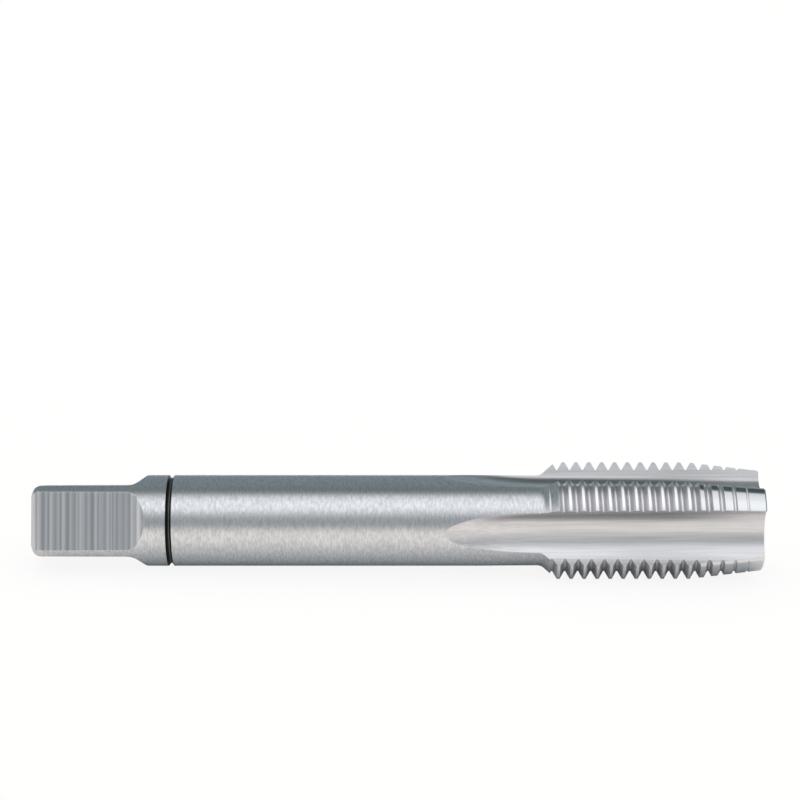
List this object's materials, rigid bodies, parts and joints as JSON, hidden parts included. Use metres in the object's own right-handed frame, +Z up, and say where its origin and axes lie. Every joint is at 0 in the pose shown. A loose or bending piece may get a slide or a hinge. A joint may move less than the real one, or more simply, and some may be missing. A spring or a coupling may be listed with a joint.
{
  "type": "thread tap",
  "caption": "Straight-fluted hand tap with a right-hand thread, taper lead, plain shank with a ring mark, and a square drive end.",
  "frame": {"origin": "centre of the drive end's face, on the tool's axis", "axes": "+X from the drive square towards the cutting tip, +Z up from the surface that the tap lies on; the tool's axis rises 0.89 degrees towards the tip, because the thread is thicker than the shank"},
  "size_m": [0.1122, 0.016, 0.0163],
  "materials": {
    "tool_steel": "bright ground tool steel, satin on the shank"
  },
  "bodies": {
    "root": {"tap": "tool_steel"}
  },
  "joints": []
}
